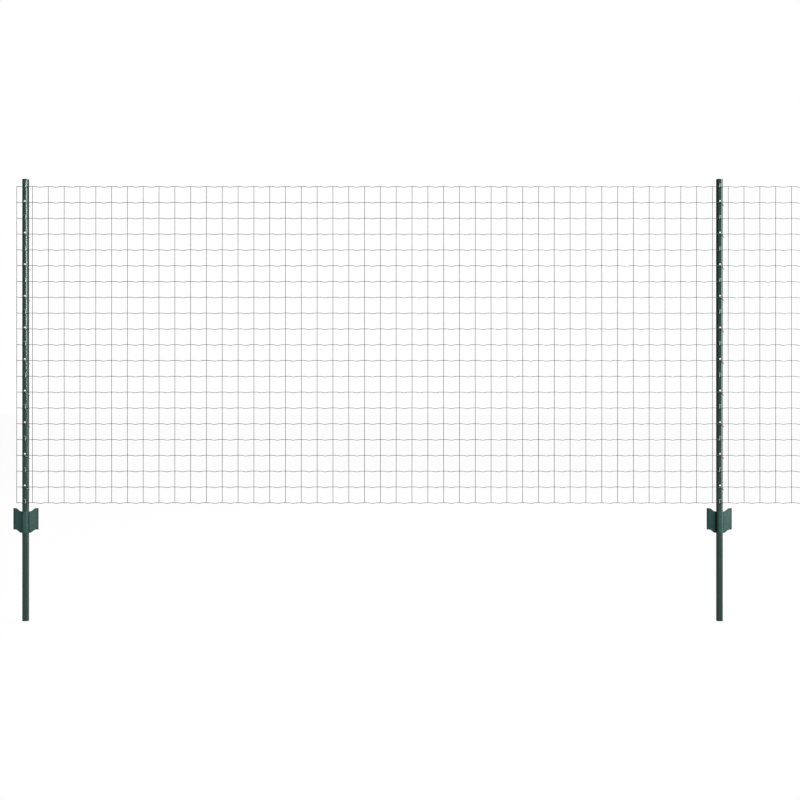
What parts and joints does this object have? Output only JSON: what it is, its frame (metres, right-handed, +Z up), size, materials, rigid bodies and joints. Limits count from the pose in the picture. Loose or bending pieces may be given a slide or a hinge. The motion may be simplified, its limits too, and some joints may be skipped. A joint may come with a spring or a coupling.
{
  "type": "stock fence bay",
  "caption": "Square welded wire mesh on two driven U-section posts with wire lugs, tie holes and spade anchor plates, for fencing in sheep, pigs or young cattle.",
  "frame": {"origin": "on the ground line, midway between the two posts, on the front face of their webs", "axes": "+X along the fence to the right, +Y back from the mesh side, +Z up"},
  "size_m": [2.5158, 0.0198, 1.4],
  "materials": {
    "mesh_wire": "satin galvanised",
    "tie_wire": "satin galvanised",
    "post_coating": "gloss green powder coat",
    "plate_coating": "gloss green powder coat"
  },
  "bodies": {
    "root": {"line_wire_01": "mesh_wire", "line_wire_02": "mesh_wire", "line_wire_03": "mesh_wire", "line_wire_04": "mesh_wire", "line_wire_05": "mesh_wire", "line_wire_06": "mesh_wire", "line_wire_07": "mesh_wire", "line_wire_08": "mesh_wire", "line_wire_09": "mesh_wire", "line_wire_10": "mesh_wire", "line_wire_11": "mesh_wire", "line_wire_12": "mesh_wire", "line_wire_13": "mesh_wire", "line_wire_14": "mesh_wire", "line_wire_15": "mesh_wire", "line_wire_16": "mesh_wire", "line_wire_17": "mesh_wire", "line_wire_18": "mesh_wire", "line_wire_19": "mesh_wire", "line_wire_20": "mesh_wire", "line_wire_21": "mesh_wire", "stay_wires_01": "mesh_wire", "stay_wires_02": "mesh_wire", "stay_wires_03": "mesh_wire", "stay_wires_04": "mesh_wire", "stay_wires_05": "mesh_wire", "stay_wires_06": "mesh_wire", "stay_wires_07": "mesh_wire", "stay_wires_08": "mesh_wire", "stay_wires_09": "mesh_wire", "stay_wires_10": "mesh_wire", "stay_wires_11": "mesh_wire", "stay_wires_12": "mesh_wire", "stay_wires_13": "mesh_wire", "stay_wires_14": "mesh_wire", "stay_wires_15": "mesh_wire", "stay_wires_16": "mesh_wire", "stay_wires_17": "mesh_wire", "left_post": "post_coating", "right_post": "post_coating", "left_anchor_plate": "plate_coating", "right_anchor_plate": "plate_coating", "left_tie_wires": "tie_wire", "right_tie_wires": "tie_wire"}
  },
  "joints": []
}
